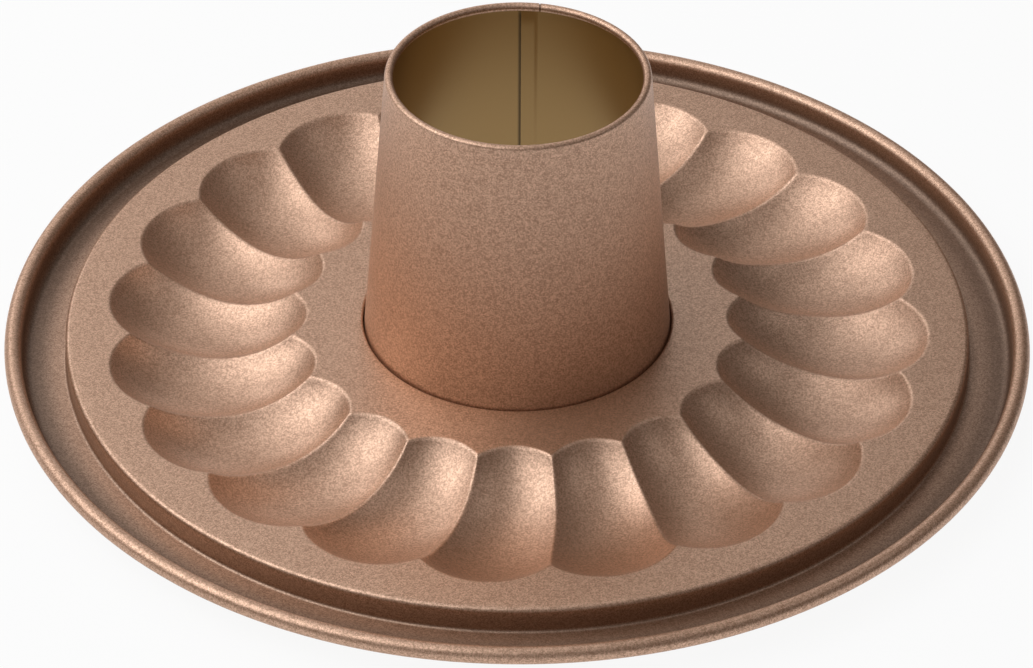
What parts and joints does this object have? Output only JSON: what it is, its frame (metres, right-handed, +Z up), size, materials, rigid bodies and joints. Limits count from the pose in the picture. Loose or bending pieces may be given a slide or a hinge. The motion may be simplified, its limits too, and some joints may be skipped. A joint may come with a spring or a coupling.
{
  "type": "cake pan",
  "caption": "Pressed base of a springform cake pan with a ring of twisted lobes, a drip channel, a rolled rim and a conical centre tube.",
  "frame": {"origin": "centre of the plane that the lobes stand on, on the tube's axis", "axes": "+Z up along the tube's axis, -Y towards the front, with the tube's seam at +Y"},
  "size_m": [0.295, 0.295, 0.0963],
  "materials": {
    "coating": "satin metallic non-stick coating, rose bronze with fine flakes"
  },
  "bodies": {
    "root": {"base_plate": "coating", "tube": "coating"}
  },
  "joints": []
}
